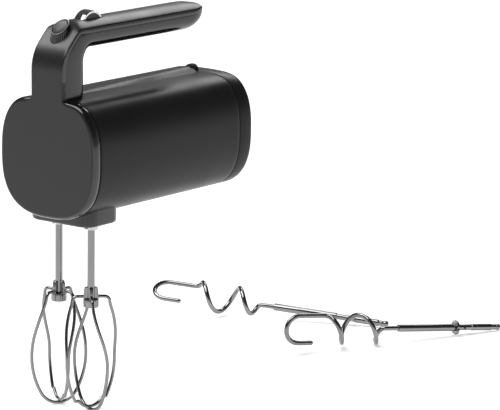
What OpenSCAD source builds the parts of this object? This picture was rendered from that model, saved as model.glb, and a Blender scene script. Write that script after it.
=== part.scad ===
// Hand mixer: motor body, strap handle, two beaters and two dough hooks.
// Millimetres, +Z up, front towards -Y. The origin is the middle of the grip.
// Shapes are written from the centre of the front plate; place() moves them to the origin.

/* [Body] */
// Width of the motor body
body_w = 98; // [96:1:106]
// Height of the full outline, before the top is flattened
body_h = 100; // [94:1:106]
// Length from the front plate to the rear face
body_l = 203; // [198:1:208]
// Roundness of the outline: 2 is an ellipse, 4 is nearly a square
body_n = 2.65; // [2.4:0.05:3]
// Height of the flattened top above the body axis
top_z = 45.5; // [44:0.5:47]
// Wall thickness of the shells
wall = 2.5; // [2:0.1:3]

/* [Handle] */
// Width of the outer strap
strap_w = 32; // [30:1:34]
// Thickness of the outer strap
strap_t = 5; // [4:0.5:6]
// Height of the handle's top above the body axis
handle_z = 105; // [102:1:108]
// Height of the grip's underside above the body axis
grip_z = 82.5; // [80:0.5:84]
// Radius of the two curves of the front bend
bend_r = 30; // [24:1:32]

/* [Controls] */
// Radius of the eject button
button_r = 7.2; // [6:0.2:8]
// Travel of the eject button
eject_travel = 6; // [4:1:7]
// Radius of the speed wheel
wheel_r = 14; // [13:0.5:14.5]
// Width of the speed wheel's knurled rim
wheel_w = 6.4; // [5:0.2:7]
// Width of the speed wheel's bright ring
ring_w = 3.2; // [2:0.2:4]

/* [Drive] */
// Distance from the body axis plane to each beater axis
beater_x = 16.75; // [16.75:0.01:16.75]
// Distance of the beater axes behind the front plate
beater_y = 34.6; // [34:0.2:35]
// Height of the motor axis above the body axis
motor_z = -8; // [-9:0.5:-7]
// Gear module
gear_m = 0.8; // [0.8:0.01:0.8]
// Teeth on each worm wheel
wheel_teeth = 30; // [30:1:30]

/* [Beaters] */
// Diameter of a beater shaft
shaft_d = 6; // [6:0.1:6]
// Diameter of the beater wire
wire_d = 2.7; // [2.4:0.1:3]
// Greatest radius of the wire cage
cage_r = 23; // [21:0.5:23.5]
// Height of the wire cage
cage_h = 93; // [90:1:94]
// Angle that the wires wind through on their way down
cage_twist = 30; // [0:5:35]

/* [Dough hooks] */
// Length of a dough hook
hook_l = 215; // [210:1:225]
// Diameter of the hook wire
hook_wire_d = 4.4; // [4:0.1:5]
// Radius of the wire's spiral
hook_r = 12; // [10:0.5:12]

/* [Hidden] */
$fn = 64;

gap = 0.3;                        // room between pieces that move past each other
run = 0.05;                       // radial clearance of a shaft in its bearing
half_w = body_w / 2;
half_h = body_h / 2;
top_crown = 0.8;                  // rise of the flattened top at its middle
frame_t = 4;                      // thickness of the front plate
bevel_l = 7;                      // length of the bright side wall behind the front plate
bevel_in = 2.2;                   // step from the body outline to the front plate
gasket_l = 1.2;                   // width of the shadow gap
cap_y = 185;                      // start of the rear cap
cap_edge = 7;                     // rounding of the rear edge
sleeve_y = bevel_l + gasket_l;
grip_mid = [0, 100, 94];          // middle of the grip, seen from the front plate's centre

chin_w = 65;
chin_l = 42;
chin_r = 12;
chin_bottom = -56;
chin_top = -41.5;

leg_back = 32;                    // rear face of the handle's leg
tip_top = [187, 101.2];            // top of the handle's rear tip
tip_low = [165, grip_z];          // foot of the handle's rear tip
crown_r = 26;                     // radius of the strap's crowned top
button_y = 16;
button_top = 101;
button_foot = 80;
wheel_y = 50;
wheel_z = 96.5;
wheel_x = 1.5;                     // plane where the wheel's rim meets its bright ring
axle_r = 1.5;

spindle_r = 6;
spindle_top = 6;
socket_z = -61;                   // mouth of the drive sockets
worm_r = beater_x - gear_m * wheel_teeth / 2;
worm_starts = 2;
worm_lead = worm_starts * PI * gear_m;
worm_l = 14;
worm_end = beater_y + worm_l / 2;
gear_w = 5;
rotor_r = 2.5;
bush_r = 8.5;
backlash = 0.14;                  // how much thinner each flank is than a tight mesh
tooth_half = PI * gear_m / 4 - backlash;

hub_top = -108;
hub_low = -124.5;
arm_z = -116;
shaft_top = 2;
pin_z = -50;
pin_r = 1.1;                      // cross pin that drives each tool

/* ---------- helpers ---------- */
module place() translate(-grip_mid) children();

// Extrude a shape drawn in X and Z along Y
module along_y(y0, y1) translate([0, y1, 0]) rotate([90, 0, 0]) linear_extrude(y1 - y0) children();

// Extrude a shape drawn in Y and Z along X
module along_x(x0, x1) translate([x0, 0, 0]) rotate([90, 0, 90]) linear_extrude(x1 - x0) children();

function arc(c, r, a0, a1, n) = [for (i = [0 : n]) let (a = a0 + (a1 - a0) * i / n) c + r * [cos(a), sin(a)]];
function unit(v) = v / norm(v);
function smooth(t) = let (u = min(max(t, 0), 1)) u * u * (3 - 2 * u);

module round_rect(w, h, r) {
  square([w, h - 2 * r], center = true);
  square([w - 2 * r, h], center = true);
  for (sx = [-1, 1], sy = [-1, 1]) translate([sx * (w / 2 - r), sy * (h / 2 - r)]) circle(r);
}

// Sweep a round wire along points
function next_side(n, t) = unit(n - (n * t) * t);
module wire(pts, r, sides = 8) {
  last = len(pts) - 1;
  dirs = [for (i = [0 : last]) unit(pts[min(i + 1, last)] - pts[max(i - 1, 0)])];
  first = abs(dirs[0][2]) < 0.9 ? cross(dirs[0], [0, 0, 1]) : cross(dirs[0], [1, 0, 0]);
  normals = [for (i = 0, n = unit(first); i <= last; i = i + 1, n = i <= last ? next_side(n, dirs[i]) : n) n];
  rings = [for (i = [0 : last], k = [0 : sides - 1])
    let (a = 360 * k / sides, n = normals[i], b = cross(dirs[i], n)) pts[i] + r * (cos(a) * n + sin(a) * b)];
  walls = [for (i = [0 : last - 1], k = [0 : sides - 1])
    let (j = (k + 1) % sides) [i * sides + k, i * sides + j, (i + 1) * sides + j, (i + 1) * sides + k]];
  start = [[for (k = [sides - 1 : -1 : 0]) k]];
  end = [[for (k = [0 : sides - 1]) last * sides + k]];
  polyhedron(rings, [for (f = concat(walls, start, end)) [for (i = [len(f) - 1 : -1 : 0]) f[i]]], convexity = 8);
}

/* ---------- body outline ---------- */
function power(v) = sign(v) * pow(abs(v), 2 / body_n);
function top_limit(x) = top_z + top_crown * (1 - pow(x / 30, 2));
function body_points(inset = 0, step = 5) = [for (t = [0 : step : 360 - step])
  let (x = (half_w - inset) * power(cos(t)), z = (half_h - inset) * power(sin(t)))
  [x, min(z, top_limit(x) - inset)]];
module body_outline(inset = 0) polygon(body_points(inset));
module chin_outline(grow = 0) translate([0, beater_y - 1]) round_rect(chin_w + 2 * grow, chin_l + 2 * grow, chin_r + grow);

/* ---------- handle outline, in Y and Z ---------- */
slant_z = 79.7;                   // where the slanted front of the bend would meet the front plane
tangent = bend_r * tan(22.5);
droop_r = 176;                    // the strap's rear end bends down on this radius
function bend(o) = concat(
  arc([bend_r, slant_z - tangent], bend_r - o, 180, 135, 5),
  arc([handle_z - slant_z + tangent, handle_z - bend_r], bend_r - o, 135, 90, 5));
function top_run(o) = arc([150, handle_z - droop_r], droop_r - o, 90, 78, 6);
module handle_outline() polygon(concat(
  [[0, 42]], bend(0), top_run(0),
  [tip_top + [1, -3], tip_top + [-1, -9], tip_low + [9, 4], tip_low + [3, 0.6], tip_low],
  arc([leg_back + 9, grip_z - 9], 9, 90, 180, 6), [[leg_back, 42]]));
module strap_profile() polygon(concat(
  [[0, 42]], bend(0), top_run(0),
  [tip_top + [1, -3], tip_top + [-1, -9], tip_low + [9, 4], tip_low + [3, 0.6], tip_low,
   tip_low + [1, 3.5], tip_low + [9, 8], tip_top + [-7, -8], tip_top + [-7, -strap_t]],
  reversed(inner_top()),
  reversed(bend(strap_t)), [[strap_t, 42]]));
function inner_top() = [for (p = top_run(strap_t)) if (p[0] < tip_top[0] - 8) p];
function reversed(l) = [for (i = [len(l) - 1 : -1 : 0]) l[i]];

/* ---------- housing ---------- */
module strap() intersection() {
  along_x(-strap_w / 2, strap_w / 2) strap_profile();
  union() {
    translate([-strap_w / 2, -1, 0]) cube([strap_w, 60, 88]);
    translate([0, -1, handle_z - crown_r]) rotate([-90, 0, 0]) cylinder(r = crown_r, h = body_l + 10, $fn = 96);
  }
}

module front_frame() color("dimgray") place() difference() {
  union() {
    along_y(0, frame_t) body_outline(bevel_in);
    strap();
  }
  translate([0, button_y, button_foot - 10]) cylinder(r = button_r + gap, h = 40);
  along_x(wheel_x - wheel_w - gap, wheel_x + ring_w + gap)
    translate([wheel_y, wheel_z]) circle(wheel_r + 0.8);
}

module bevel_ring() color("black") place() difference() {
  along_y(0.6, bevel_l) body_outline();
  along_y(-1, frame_t) body_outline(bevel_in);
  along_y(1, bevel_l + 1) body_outline(wall + 2);
  translate([-strap_w / 2, -1, 30]) cube([strap_w, 20, 30]);
}

module front_gasket() color("black") place() difference() {
  along_y(bevel_l, sleeve_y) body_outline(2);
  along_y(0, sleeve_y + 1) body_outline(wall + 3);
  translate([-strap_w / 2, -1, 30]) cube([strap_w, 20, 30]);
}

module body_sleeve() color("darkslategray") place() difference() {
  along_y(sleeve_y, cap_y - 0.6) body_outline();
  along_y(sleeve_y - 1, cap_y) body_outline(wall);
  translate([0, 0, -70]) linear_extrude(40) chin_outline(0.4);
  translate([-6, 10, 30]) cube([12, 14, 30]);
}

module rear_cap() color("black") place() difference() {
  hull() {
    along_y(cap_y, body_l - cap_edge) body_outline();
    along_y(body_l - cap_edge, body_l - cap_edge * 0.5) body_outline(cap_edge * 0.13);
    along_y(body_l - cap_edge * 0.5, body_l - cap_edge * 0.13) body_outline(cap_edge * 0.5);
    along_y(body_l - cap_edge * 0.13, body_l) body_outline(cap_edge);
  }
  along_y(cap_y - 1, body_l - wall - cap_edge) body_outline(wall);
  along_y(cap_y - 1, body_l - wall) body_outline(cap_edge + wall);
  for (row = [-3 : 3], side = [-1, 1])
    translate([side * 14 - 9, body_l - 8, row * 5 - 1]) cube([18, 12, 2]);
  for (side = [-1, 1]) translate([side * 32, body_l - 10, -14]) rotate([-90, 0, 0]) cylinder(r = 2, h = 12);
}

module cap_screws() color("silver") place() for (side = [-1, 1]) translate([side * 32, body_l - 24, -14])
  rotate([-90, 0, 0]) {
    cylinder(r = 1.5, h = 22);
    translate([0, 0, 19]) cylinder(r = 1.95, h = 3);
  }

module chin_cover() color("black") place() difference() {
  translate([0, 0, chin_bottom]) linear_extrude(chin_top - chin_bottom) chin_outline();
  translate([0, 0, chin_bottom + 3]) linear_extrude(20) chin_outline(-wall);
  for (side = [-1, 1]) translate([side * beater_x, beater_y, -70]) cylinder(r = spindle_r + 0.6, h = 30);
}

module handle_half(side) place() difference() {
  intersection() {
    difference() {
      along_x(-strap_w / 2 + 0.8, strap_w / 2 - 0.8) handle_outline();
      along_x(-strap_w, strap_w) strap_profile();
    }
    translate([side > 0 ? 0 : -strap_w, -1, top_z + top_crown]) cube([strap_w, body_l + 10, 80]);
  }
  along_x(-13.5, 13.5) polygon([[8, 40], [8, 68], [14.5, 82], [22, 90], [34, 97], [150, 97], [170, 93],
    [158, grip_z + 3], [46, grip_z + 3], [leg_back - 3, grip_z - 9], [leg_back - 3, 40]]);
  translate([0, button_y, button_foot - 10]) cylinder(r = button_r + gap, h = 40);
  along_x(wheel_x - wheel_w - gap, wheel_x + ring_w + gap)
    translate([wheel_y, wheel_z]) circle(wheel_r + 0.8);
  for (y = [72, 140]) translate([0, y, grip_z - 1]) cylinder(r = 2.2, h = 12);
  translate([-20, wheel_y, wheel_z]) rotate([0, 90, 0]) cylinder(r = axle_r, h = 34);
}
module handle_half_left() color("black") handle_half(-1);
module handle_half_right() color("black") handle_half(1);

module handle_screws() color("silver") place() for (y = [72, 140]) translate([0, y, grip_z]) {
  cylinder(r = 2.1, h = 1.6);
  cylinder(r = 1.2, h = 9);
}

module cord_spine() color("black") place() difference() {
  along_x(-9, 9) polygon([[leg_back + 0.4, top_z], [leg_back + 6, top_z + 1.4], [150, top_z + 4.6],
    [cap_y - 6, top_z + 5], [cap_y - 6, top_z]]);
  along_y(0, cap_y) body_outline();
}

module cord_gland() color("black") place() difference() {
  translate([0, cap_y - 6, top_z + 0.9]) rotate([-90, 0, 0]) cylinder(r = 5.2, h = 7);
  along_y(0, cap_y + 5) body_outline();
  translate([0, cap_y - 5, top_z + 2.4]) rotate([-90, 0, 0]) cylinder(r = 1.8, h = 12);
}

/* ---------- gearbox and motor ---------- */
box_front = 16.5;                 // front face of the gearbox
box_back = 60;
box_top = 4;
box_low = -41;
module gear_screws_at() for (side = [-1, 1], y = [box_front + 2.5, box_back - 3])
  translate([side * 22, y, 0]) children();

module gearbox_base() color("gainsboro") place() difference() {
  union() {
    translate([-26, box_front, box_low]) cube([52, box_back - box_front, 5]);
    translate([-26, box_front, box_low]) cube([52, 5, -box_low]);
    translate([-26, box_back - 6, box_low]) cube([52, 6, -box_low]);
    for (side = [-1, 1]) translate([side * beater_x, beater_y, box_low - 3]) cylinder(r = bush_r + 2, h = 8);
  }
  for (side = [-1, 1]) translate([side * beater_x, beater_y, -50]) cylinder(r = bush_r, h = 20);
  translate([0, 10, motor_z]) rotate([-90, 0, 0]) cylinder(r = 5, h = 60);
  gear_screws_at() translate([0, 0, -14]) cylinder(r = 1.5, h = 20);
}

module gearbox_cover() color("gainsboro") place() difference() {
  translate([-26, box_front, 0]) cube([52, box_back - box_front, box_top]);
  for (side = [-1, 1]) translate([side * beater_x, beater_y, -5]) cylinder(r = bush_r, h = 20);
  gear_screws_at() translate([0, 0, -14]) cylinder(r = 1.5, h = 20);
}

module gearbox_screws() color("silver") place() gear_screws_at() {
  translate([0, 0, -12]) cylinder(r = 1.5, h = 12 + box_top);
  translate([0, 0, box_top]) cylinder(r = 2.8, h = 2);
}

module spindle_bushes() color("goldenrod") place() for (side = [-1, 1], z = [-44, 0])
  translate([side * beater_x, beater_y, z]) difference() {
    cylinder(r = bush_r, h = z < 0 ? 8 : 4);
    translate([0, 0, -1]) cylinder(r = spindle_r + run, h = 20);
  }

module shaft_bearings() color("goldenrod") place() for (y = [box_front, box_back - 6, 150])
  translate([0, y, motor_z]) rotate([-90, 0, 0]) difference() {
    cylinder(r = 5, h = 6);
    translate([0, 0, -1]) cylinder(r = rotor_r + run, h = 20);
  }

module motor_axis(y) translate([0, y, motor_z]) rotate([-90, 0, 0]) children();

module motor_can() color("lightgray") place() motor_axis(60) difference() {
  cylinder(r = 21, h = 84);
  translate([0, 0, 2]) cylinder(r = 19.5, h = 90);
  translate([0, 0, -1]) cylinder(r = 9, h = 10);
}

module magnets() color("dimgray") place() motor_axis(80) for (a = [-60, 120])
  rotate([0, 0, a]) rotate_extrude(angle = 120) translate([13.8, 0]) square([5.7, 50]);

module end_bell() color("ivory") place() motor_axis(144) difference() {
  union() {
    cylinder(r = 21, h = 2.5);
    cylinder(r = 8, h = 12);
  }
  translate([0, 0, 6]) cylinder(r = 5, h = 20);
  translate([0, 0, -1]) cylinder(r = 4, h = 20);
}

module carbon_brushes() color("black") place() for (side = [-1, 1])
  translate([side * 6.2, 136, motor_z - 2.5]) translate([side > 0 ? 0 : -13, 0, 0]) cube([13, 5, 5]);

module motor_shaft() color("silver") place() motor_axis(worm_end) cylinder(r = rotor_r, h = 172 - worm_end);

function thread_r(d) = let (half = tooth_half, off = abs(d) * worm_lead / 360)
  min(max(worm_r + (half - off) / tan(20), worm_r - 1.25 * gear_m), worm_r + gear_m);
module worm() color("silver") place() {
  motor_axis(worm_end - worm_l) rotate([0, 0, -90 - 180 * worm_l / worm_lead])
    linear_extrude(worm_l, twist = -360 * worm_l / worm_lead, slices = 36)
      polygon([for (k = [0 : 27]) let (a = k * 360 / 28, d = (a + 90) % 180 - 90) thread_r(d) * [cos(a), sin(a)]]);
  motor_axis(box_front + 1) cylinder(r = rotor_r, h = worm_end - worm_l - box_front - 0.5);
}

module armature() color("slategray") place() motor_axis(84) difference() {
  cylinder(r = 13.2, h = 42);
  translate([0, 0, -1]) cylinder(r = rotor_r, h = 50);
  for (k = [0 : 7]) rotate([0, 0, k * 45]) translate([8, -1.3, -1]) cube([8, 2.6, 50]);
}

module windings() color("peru") place() for (y = [78, 126]) motor_axis(y) difference() {
  cylinder(r = 12, h = 6);
  translate([0, 0, -1]) cylinder(r = rotor_r, h = 10);
}

module commutator() color("peru") place() motor_axis(134) difference() {
  cylinder(r = 6, h = 9);
  translate([0, 0, -1]) cylinder(r = rotor_r, h = 12);
  for (k = [0 : 7]) rotate([0, 0, k * 45]) translate([5, -0.3, -1]) cube([2, 0.6, 12]);
}

module cooling_fan() color("white") place() motor_axis(158) difference() {
  union() {
    cylinder(r = 6, h = 12);
    cylinder(r = 20, h = 1.5);
    for (k = [0 : 8]) rotate([0, 0, k * 40]) translate([5, -0.7, 0]) cube([14, 1.4, 12]);
  }
  translate([0, 0, -1]) cylinder(r = rotor_r, h = 20);
}

/* ---------- spindles and beaters ---------- */
module spindle(side) place() translate([side * beater_x, beater_y, 0]) difference() {
  translate([0, 0, socket_z]) cylinder(r = spindle_r, h = spindle_top - socket_z);
  translate([0, 0, socket_z - 1]) cylinder(r = shaft_d / 2 + run, h = 80);
  translate([-pin_r - gap, -8, socket_z - 1]) cube([2 * (pin_r + gap), 16, pin_z + pin_r + gap + 1 - socket_z]);
}
module spindle_left() color("silver") spindle(-1);
module spindle_right() color("silver") spindle(1);

pitch_r = gear_m * wheel_teeth / 2;
function tooth(k) = let (c = k * 360 / wheel_teeth) [for (p = [[-1, -1], [1, -1], [1, 1], [-1, 1]])
  let (r = pitch_r + gear_m * (p[0] < 0 ? -1.25 : 1), w = tooth_half - (r - pitch_r) * tan(20),
       a = c + p[1] * w / r * 180 / PI) r * [cos(a), sin(a)]];
module worm_wheel(side) place() translate([side * beater_x, beater_y, motor_z - gear_w / 2]) difference() {
  rotate([0, 0, -gear_w / 2 * 0.804])
    linear_extrude(gear_w, twist = -gear_w * 0.804, slices = 3)
      polygon([for (k = [0 : wheel_teeth - 1]) each tooth(k)]);
  translate([0, 0, -1]) cylinder(r = spindle_r, h = gear_w + 2);
}
module worm_wheel_left() color("ivory") worm_wheel(-1);
module worm_wheel_right() color("ivory") worm_wheel(1);

module beater_shaft(side) place() translate([side * beater_x, beater_y, 0]) {
  difference() {
    translate([0, 0, hub_low]) cylinder(r = shaft_d / 2, h = shaft_top - hub_low);
    translate([0, 0, -6]) rotate_extrude() translate([shaft_d / 2 + 0.6, 0]) circle(1.1);
  }
  translate([0, 5, pin_z]) rotate([90, 0, 0]) cylinder(r = pin_r, h = 10);
  translate([0, 0, hub_low]) cylinder(r = 6.25, h = 7);
  translate([0, 0, hub_low + 7]) for (k = [0 : 3]) rotate([0, 0, k * 90 + (side < 0 ? 0 : 45)])
    translate([0, 1.4, 0]) rotate([90, 0, 0]) linear_extrude(2.8)
      polygon([[0, 0], [6.2, 0], [5.2, 8.4], [4.6, 9.5], [0, 9.5]]);
}
module beater_shaft_left() color("silver") beater_shaft(-1);
module beater_shaft_right() color("silver") beater_shaft(1);

// Half of a wire loop as [radius, depth below the arms], from the hub to the lowest point
wide_z = cage_h * 0.57;
low_r = 17;
rise_r = (pow(wide_z - 5, 2) + pow(cage_r - 14.9, 2)) / (2 * (cage_r - 14.9));
rise_a = asin((wide_z - 5) / rise_r);
drop = cage_h - low_r - wide_z;
side_r = (pow(cage_r, 2) + pow(drop, 2) - pow(low_r, 2)) / (2 * (cage_r - low_r));
side_a = atan2(drop, side_r - cage_r);
function half_loop(h) = concat(
  [[4.6, 0], [9.4, 0]],
  arc([10.6, 4.5], 4.5, -80, -rise_a, 4),
  arc([cage_r - rise_r, wide_z], rise_r, -rise_a * 0.97, 0, 8),
  arc([cage_r - side_r, wide_z], side_r, side_a * 0.2, side_a, 5),
  arc([0, cage_h - low_r], low_r - h, side_a + (90 - side_a) / 5, 90, 4));
function loop_point(p, sgn, az, hand) = let (a = az - hand * cage_twist * smooth(p[1] / wide_z))
  [sgn * p[0] * cos(a), sgn * p[0] * sin(a), arm_z - p[1]];
function loop_points(az, hand, h) = let (half = half_loop(h), n = len(half)) concat(
  [for (p = half) loop_point(p, 1, az, hand)],
  [for (i = [n - 2 : -1 : 0]) loop_point(half[i], -1, az, hand)]);
module beater_cage(side) place() translate([side * beater_x, beater_y, 0]) {
  hand = -side;
  first = side < 0 ? 0 : 45;
  wire(loop_points(first + 90, hand, 0), wire_d / 2);
  wire(loop_points(first, hand, wire_d), wire_d / 2);
}
module beater_cage_left() color("silver") beater_cage(-1);
module beater_cage_right() color("silver") beater_cage(1);

/* ---------- controls ---------- */
module eject_button() color("black") place() translate([0, button_y, 0]) difference() {
  translate([0, 0, button_foot]) cylinder(r = button_r, h = 26);
  translate([0, 0, button_top]) rotate([38, 0, 0]) translate([-20, -20, 0]) cube([40, 40, 30]);
  for (k = [0 : 23]) rotate([0, 0, k * 15]) translate([button_r + 0.2, 0, button_foot + 2]) cylinder(r = 0.5, h = 30, $fn = 16);
  translate([0, 0, button_foot - 1]) cylinder(r = 2, h = 5);
}

module eject_rod() color("ivory") place() difference() {
  union() {
    translate([0, button_y, 20]) cylinder(r = 2, h = button_foot + 4 - 20);
    translate([-5, button_y - 5, 18]) cube([10, beater_y - button_y + 5, 4]);
    translate([-beater_x - 4, beater_y - 4, 18]) cube([2 * beater_x + 8, 8, 4]);
    for (side = [-1, 1]) translate([side * beater_x, beater_y, shaft_top + 0.2]) cylinder(r = 2.5, h = 18);
  }
}

spring_foot = 58;
module button_spring() color("silver") place() wire(
  [for (i = [0 : 72]) [3.6 * cos(i * 30), button_y + 3.6 * sin(i * 30),
    spring_foot + 0.5 + (button_foot - spring_foot - 1) * i / 72]], 0.45, 6);

module knurl(r, teeth) polygon([for (k = [0 : 2 * teeth - 1]) let (a = k * 180 / teeth) (k % 2 == 0 ? r : r - 0.5) * [cos(a), sin(a)]]);
module dial_sector(grow) difference() {
  children();
  rotate([0, 0, 35]) translate([-30, -60.01 - grow]) square([60, 60]);
}
module speed_wheel() color("dimgray") place() difference() {
  union() {
    along_x(wheel_x - wheel_w, wheel_x) translate([wheel_y, wheel_z]) dial_sector(0) knurl(wheel_r, 72);
    along_x(wheel_x - wheel_w, wheel_x) translate([wheel_y, wheel_z]) circle(5);
  }
  translate([-20, wheel_y, wheel_z]) rotate([0, 90, 0]) cylinder(r = axle_r + run, h = 40);
}
module speed_wheel_trim() color("silver") place() difference() {
  union() {
    along_x(wheel_x, wheel_x + ring_w) translate([wheel_y, wheel_z]) dial_sector(0) circle(wheel_r - 0.4);
    along_x(wheel_x, wheel_x + ring_w) translate([wheel_y, wheel_z]) circle(5);
  }
  translate([-20, wheel_y, wheel_z]) rotate([0, 90, 0]) cylinder(r = axle_r + run, h = 40);
}
module wheel_axle() color("silver") place() translate([-14, wheel_y, wheel_z]) rotate([0, 90, 0]) cylinder(r = axle_r, h = 28);

module control_board() color("darkgreen") place() {
  translate([-9, 76, 89]) cube([18, 56, 1.6]);
  translate([-6, 80, 90.6]) cube([12, 10, 5]);
  translate([-4, 100, 90.6]) cylinder(r = 4, h = 0.1);
  translate([-5, 108, 90.6]) cube([10, 16, 4]);
}

/* ---------- dough hooks ---------- */
floor_z = arm_z - cage_h - wire_d / 2;
hook_rest = 89;                   // point of the spiral that rests on the table
hook_tilt = asin((hook_r + hook_wire_d / 2 - shaft_d / 2) / (hook_l - hook_rest));
turn_start = 38;
turn_end = 89;
turn_pitch = 34;
shank_start = 110;
shank_r = shaft_d / 2 + 0.3;      // thicker part of the shank, which stays out of the socket
neck_r = shaft_d / 2 - 0.4;       // relieved parts of the shank beside the journal
journal_l = 20;                   // plain length of the shank that fits the drive socket
journal_top = 10;                 // distance of the journal from the hook's end
lug_l = 7;                        // drive lug, which turns the hook in the socket's slot
lug_w = 10;
lug_at = hook_l - journal_top - journal_l - lug_l - 1;
flange_t = 2.4;
flange_at = lug_at - 9.5;
function spiral_point(u, start) = let (a = start - (u - turn_start) * 360 / turn_pitch,
  r = hook_r * (1 - smooth((u - turn_end) / 9))) [u, -r * cos(a), r * sin(a)];
function crook_point(u, offset, start) = [u, -offset * cos(start), offset * sin(start)];
function hook_points(start) = concat(
  [crook_point(25, -hook_r, start), crook_point(18, -hook_r, start)],
  [for (p = [180 : -20 : 0]) crook_point(hook_r * (1 - sin(p)), hook_r * cos(p), start)],
  [crook_point(20, hook_r, start), crook_point(29, hook_r, start)],
  [for (u = [turn_start : 1.6 : turn_end + 9]) spiral_point(u, start)],
  [[shank_start + 9, 0, 0]]);
module hook_place(pos, dir) place() translate([pos[0], pos[1], floor_z]) rotate([0, 0, dir])
  translate([0, 0, hook_r + hook_wire_d / 2 + hook_rest * sin(hook_tilt)]) rotate([0, hook_tilt, 0]) children();
module hook_shank(flanged) rotate([0, 90, 0]) difference() {
  union() {
    translate([0, 0, shank_start]) cylinder(r = shank_r, h = flange_at - shank_start);
    translate([0, 0, shank_start]) cylinder(r = neck_r, h = hook_l - shank_start - 3);
    translate([0, 0, hook_l - journal_top - journal_l]) cylinder(r = shaft_d / 2, h = journal_l);
    translate([0, 0, hook_l - 3]) sphere(r = shaft_d / 2 - 0.1);
    translate([-pin_r, -lug_w / 2, lug_at]) cube([2 * pin_r, lug_w, lug_l]);
    if (flanged) translate([0, 0, flange_at]) cylinder(r = 6.5, h = flange_t);
  }
  translate([0, 0, hook_l - 8]) rotate_extrude() translate([shaft_d / 2 + 0.6, 0]) circle(1.1);
  if (flanged) for (k = [0 : 3]) rotate([0, 0, k * 90 + 45]) translate([7, 0, flange_at - 1]) cylinder(r = 1.4, h = 5);
}
hook_rear_pos = [-151, 324];
hook_rear_dir = 25;
hook_front_pos = [30, 279];
hook_front_dir = 64;
module hook_wire_rear() color("silver") hook_place(hook_rear_pos, hook_rear_dir)
  wire(hook_points(155), hook_wire_d / 2);
module hook_shank_rear() color("silver") hook_place(hook_rear_pos, hook_rear_dir) hook_shank(false);
module hook_wire_front() color("silver") hook_place(hook_front_pos, hook_front_dir)
  wire(hook_points(90), hook_wire_d / 2);
module hook_shank_front() color("silver") hook_place(hook_front_pos, hook_front_dir) hook_shank(true);

front_frame();
bevel_ring();
front_gasket();
body_sleeve();
rear_cap();
chin_cover();
handle_half_left();
handle_half_right();
cord_spine();
cord_gland();
cap_screws();
gearbox_base();
gearbox_cover();
gearbox_screws();
spindle_bushes();
shaft_bearings();
motor_can();
magnets();
end_bell();
carbon_brushes();
control_board();
wheel_axle();
handle_screws();
motor_shaft();
worm();
armature();
windings();
commutator();
cooling_fan();
spindle_left();
worm_wheel_left();
spindle_right();
worm_wheel_right();
beater_shaft_left();
beater_cage_left();
beater_shaft_right();
beater_cage_right();
eject_button();
eject_rod();
button_spring();
speed_wheel();
speed_wheel_trim();
hook_wire_rear();
hook_shank_rear();
hook_wire_front();
hook_shank_front();
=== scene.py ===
"""Looks of the hand mixer: shells, handle, controls, wire beaters and dough hooks."""

import math

import bmesh
import bpy
import numpy as np
from mathutils import Matrix, Vector


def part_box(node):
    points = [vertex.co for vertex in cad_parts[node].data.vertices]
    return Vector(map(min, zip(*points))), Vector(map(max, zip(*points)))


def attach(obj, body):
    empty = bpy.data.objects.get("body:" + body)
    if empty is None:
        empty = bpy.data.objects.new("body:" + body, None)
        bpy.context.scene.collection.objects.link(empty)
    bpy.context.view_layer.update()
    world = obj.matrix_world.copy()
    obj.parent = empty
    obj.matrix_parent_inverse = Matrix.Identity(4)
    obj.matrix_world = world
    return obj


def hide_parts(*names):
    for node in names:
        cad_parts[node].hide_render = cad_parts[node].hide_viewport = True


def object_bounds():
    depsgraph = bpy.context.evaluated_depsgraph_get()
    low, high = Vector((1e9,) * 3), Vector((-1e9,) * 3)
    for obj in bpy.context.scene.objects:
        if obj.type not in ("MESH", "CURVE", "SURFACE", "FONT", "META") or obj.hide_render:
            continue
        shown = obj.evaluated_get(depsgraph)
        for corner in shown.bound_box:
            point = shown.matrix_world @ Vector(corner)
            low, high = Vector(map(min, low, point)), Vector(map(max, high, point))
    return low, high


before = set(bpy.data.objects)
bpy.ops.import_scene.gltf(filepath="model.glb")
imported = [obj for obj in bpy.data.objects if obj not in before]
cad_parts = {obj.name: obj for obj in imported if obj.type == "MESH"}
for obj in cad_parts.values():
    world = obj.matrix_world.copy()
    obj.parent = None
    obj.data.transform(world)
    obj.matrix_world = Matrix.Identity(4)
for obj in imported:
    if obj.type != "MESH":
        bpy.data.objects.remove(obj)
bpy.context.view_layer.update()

# ---------------------------------------------------------------- sizes, in millimetres
MM = 0.001
sleeve_low, sleeve_high = (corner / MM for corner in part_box("body_sleeve"))
frame_low, frame_high = (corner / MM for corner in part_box("front_frame"))
cap_low, cap_high = (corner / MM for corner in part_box("rear_cap"))
_, ring_high = (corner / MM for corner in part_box("bevel_ring"))
chin_low, chin_high = (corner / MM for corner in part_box("chin_cover"))
button_low, button_high = (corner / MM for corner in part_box("eject_button"))
wheel_low, wheel_high = (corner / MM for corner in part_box("speed_wheel"))
trim_low, trim_high = (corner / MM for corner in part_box("speed_wheel_trim"))
spine_low, spine_high = (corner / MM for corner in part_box("cord_spine"))
gland_low, gland_high = (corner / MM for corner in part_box("cord_gland"))

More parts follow.
